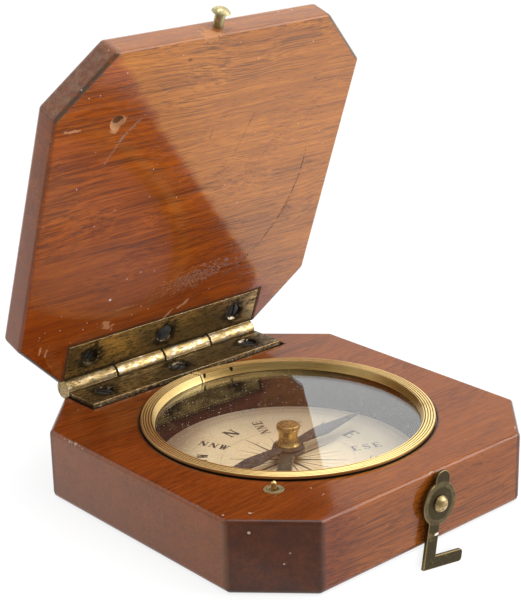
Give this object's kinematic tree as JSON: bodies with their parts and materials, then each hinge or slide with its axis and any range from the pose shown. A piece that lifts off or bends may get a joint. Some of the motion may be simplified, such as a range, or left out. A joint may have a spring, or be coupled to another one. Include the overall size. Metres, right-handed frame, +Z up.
{
  "type": "magnetic compass",
  "caption": "Pocket magnetic compass in a hinged octagonal wooden case, with a brass bezel, glazed paper dial, needle on a pivot, needle lifter and hook latch.",
  "frame": {"origin": "centre of the base's flat underside", "axes": "+X along the hinge, to the right when the latch faces the viewer; +Y from the latch face to the hinge; +Z up, out of the dial"},
  "size_m": [0.0826, 0.0925, 0.1073],
  "materials": {
    "case_wood": "aged varnished mahogany",
    "lid_wood": "aged varnished mahogany",
    "hinge_brass": "aged and dull",
    "bezel_brass": "lacquered",
    "latch_brass": "worn",
    "screw_steel": "dull",
    "needle_steel": "browned",
    "lever_steel": "dull",
    "jewel_agate": "polished",
    "glass": "clear and flat",
    "dial_paper": "aged and printed"
  },
  "bodies": {
    "base": {"base_case": "case_wood", "base_hinge_leaf": "hinge_brass", "hinge_pin": "hinge_brass", "base_leaf_screws": "screw_steel", "bezel_ring": "bezel_brass", "glass": "glass", "dial_card": "dial_paper", "pivot_post": "bezel_brass", "pivot_point": "screw_steel", "lever_bracket": "hinge_brass", "lever_pin": "screw_steel", "bracket_screws": "hinge_brass", "lifter_spring": "hinge_brass", "plunger_bush": "hinge_brass", "hook_washer": "hinge_brass", "hook_pivot": "latch_brass"},
    "lid": {"lid": "lid_wood", "lid_hinge_leaf": "hinge_brass", "lid_leaf_screws": "screw_steel", "lid_stud": "latch_brass"},
    "hook": {"hook": "latch_brass"},
    "plunger": {"lifter_plunger": "latch_brass"},
    "lever": {"lifter_lever": "lever_steel"},
    "needle_carrier": {"cap_jewel": "jewel_agate"},
    "needle": {"needle": "needle_steel", "needle_cap": "bezel_brass"}
  },
  "joints": [
    {"name": "lid_hinge", "type": "hinge", "parent": "base", "child": "lid", "pos_m": [0, 0.043, 0.01673], "axis": [-1, 0, 0], "range_deg": [-70.25, 109.75]},
    {"name": "hook_swing", "type": "hinge", "parent": "base", "child": "hook", "pos_m": [0.0025, -0.0424, 0.0092], "axis": [0, 1, 0], "range_deg": [-179, 120]},
    {"name": "plunger_press", "type": "slide", "parent": "base", "child": "plunger", "axis": [0, 0, 1], "range_m": [-0.00095, 0], "stiffness_N_per_m": 300, "deforming": ["lifter_spring"]},
    {"name": "lever_rock", "type": "hinge", "parent": "base", "child": "lever", "pos_m": [-0.01134, -0.01157, 0.00669], "axis": [-0.682, 0.7314, 0], "range_deg": [-2.8, 0]},
    {"name": "needle_lift", "type": "slide", "parent": "base", "child": "needle_carrier", "axis": [0, 0, 1], "range_m": [0, 0.00066]},
    {"name": "needle_swing", "type": "hinge", "parent": "needle_carrier", "child": "needle", "pos_m": [0, -0.001, 0.00784], "axis": [0, 0, 1], "continuous": true}
  ],
  "couplings": [
    {"joint": "lever_rock", "follows": "plunger_press", "rad_per_m": 50.761},
    {"joint": "needle_lift", "follows": "plunger_press", "ratio": -0.69415}
  ]
}
